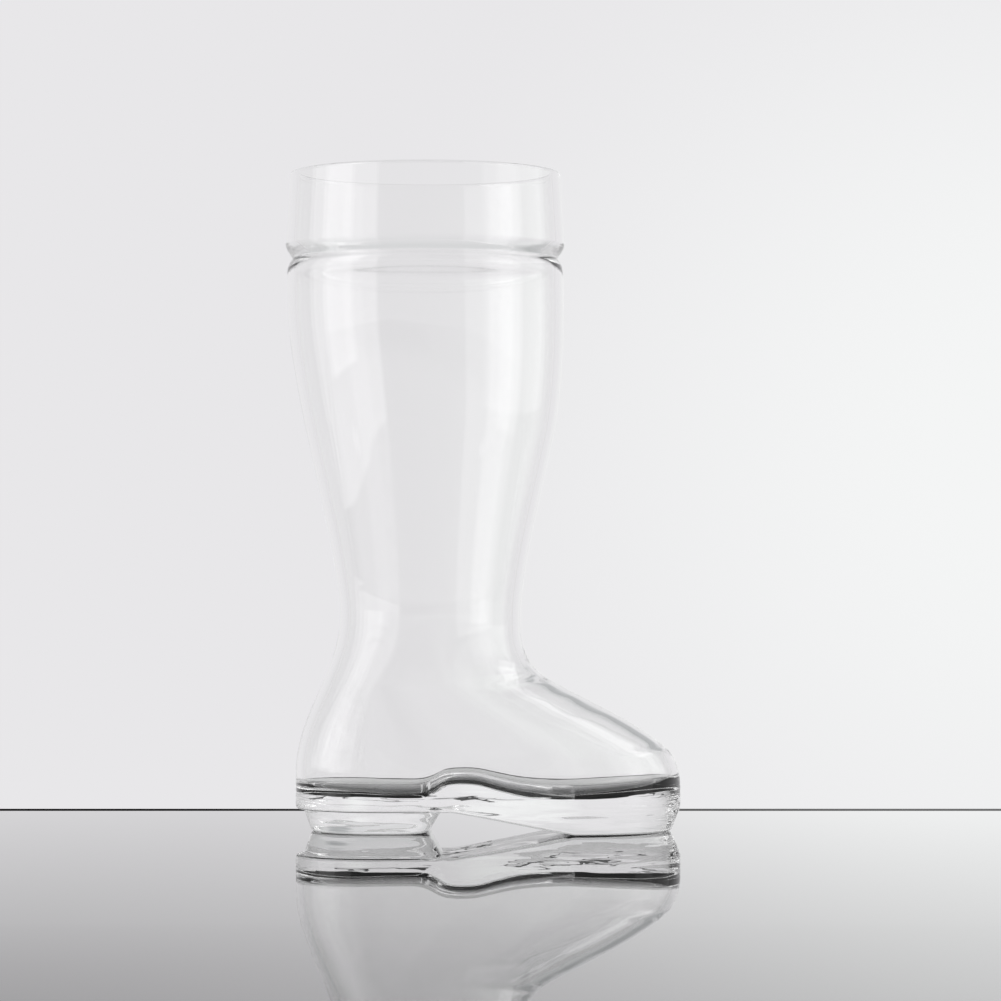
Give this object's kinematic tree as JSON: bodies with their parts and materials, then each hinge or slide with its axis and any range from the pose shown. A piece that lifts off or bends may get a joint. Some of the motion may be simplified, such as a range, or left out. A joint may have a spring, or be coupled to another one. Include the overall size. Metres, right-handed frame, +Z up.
{
  "type": "drinking glass",
  "caption": "Boot-shaped drinking glass with a straight cuff, pinched neck ring, tapering leg, rounded foot and thick clear sole with an arch and a heel block.",
  "frame": {"origin": "on the table, midway between the back of the cuff and the toe tip, on the boot's plane of symmetry", "axes": "+Z up, from the table to the lip; +X forward, towards the toe tip; +Y across, to the boot's left"},
  "size_m": [0.15, 0.106, 0.25],
  "materials": {
    "clear_glass": "clear fire-polished soda-lime glass"
  },
  "bodies": {
    "root": {"rim": "clear_glass", "cuff": "clear_glass", "neck_ring": "clear_glass", "leg": "clear_glass", "foot": "clear_glass", "sole": "clear_glass", "heel": "clear_glass"}
  },
  "joints": []
}
